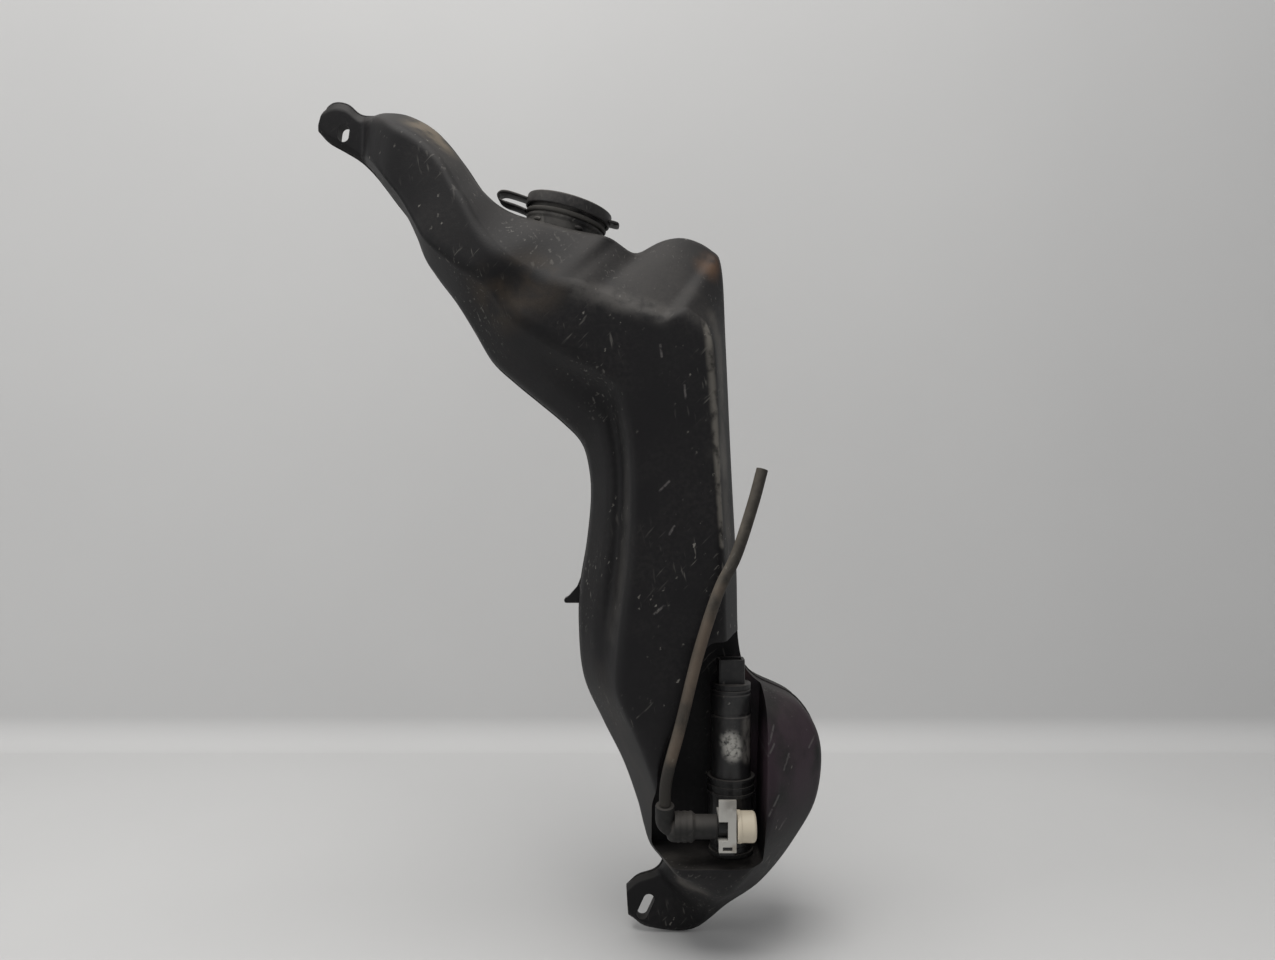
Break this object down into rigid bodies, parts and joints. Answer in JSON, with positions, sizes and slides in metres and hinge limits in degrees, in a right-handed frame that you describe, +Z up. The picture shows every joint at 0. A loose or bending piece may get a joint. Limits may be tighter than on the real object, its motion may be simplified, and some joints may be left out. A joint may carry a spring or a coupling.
{
  "type": "screen-washer reservoir with pump",
  "caption": "Black blow-moulded car washer-fluid reservoir with slotted ears, hinged snap filler lid, upright electric pump in a pocket, rubber elbow and a free hose.",
  "frame": {"origin": "on the rear seating face of the lower ear, beside its bolt slot", "axes": "+Z up along the tank's column, +Y into the wall the ears seat on, +X to the right as seen from the front"},
  "size_m": [0.2985, 0.098, 0.4952],
  "materials": {
    "black_polyethylene": "satin, dusty",
    "lid_plastic": "satin",
    "pump_plastic": "satin",
    "black_rubber": "matt",
    "can_paint": "semi-gloss",
    "steel": "plain",
    "ferrite": "matt",
    "bronze": "plain",
    "carbon": "matt",
    "copper": "plain",
    "brass": "plain",
    "clip_nylon": "satin",
    "cream_nylon": "satin",
    "strainer_plastic": "plain"
  },
  "bodies": {
    "tank": {"tank_body": "black_polyethylene", "cap_collar": "lid_plastic", "pump_base": "pump_plastic", "volute_housing": "pump_plastic", "motor_end_cover": "pump_plastic", "brush_plate": "pump_plastic", "pump_grommet": "black_rubber", "can_seal": "black_rubber", "shaft_seal": "black_rubber", "outlet_elbow": "black_rubber", "outlet_o_ring": "black_rubber", "washer_hose": "black_rubber", "motor_can": "can_paint", "magnet_front": "ferrite", "magnet_rear": "ferrite", "lower_bush": "bronze", "upper_bush": "bronze", "brush_left": "carbon", "brush_right": "carbon", "terminal_left": "brass", "terminal_right": "brass", "blanking_cap": "cream_nylon", "inlet_strainer": "strainer_plastic"},
    "lid": {"filler_lid": "lid_plastic", "lid_seal": "black_rubber"},
    "rotor": {"motor_shaft": "steel", "impeller": "pump_plastic", "armature_core": "steel", "winding_lower": "copper", "winding_upper": "copper", "commutator": "brass"},
    "clip": {"connector_clip": "clip_nylon"}
  },
  "joints": [
    {"name": "lid_fold", "type": "hinge", "parent": "tank", "child": "lid", "pos_m": [-0.09971, -0.014, 0.42349], "axis": [0, -1, 0], "range_deg": [0, 115]},
    {"name": "rotor_spin", "type": "hinge", "parent": "tank", "child": "rotor", "pos_m": [0.0347, -0.034, 0.09], "axis": [0, 0, 1], "continuous": true},
    {"name": "clip_release", "type": "slide", "parent": "tank", "child": "clip", "axis": [0, -1, 0], "range_m": [0, 0.006]}
  ]
}
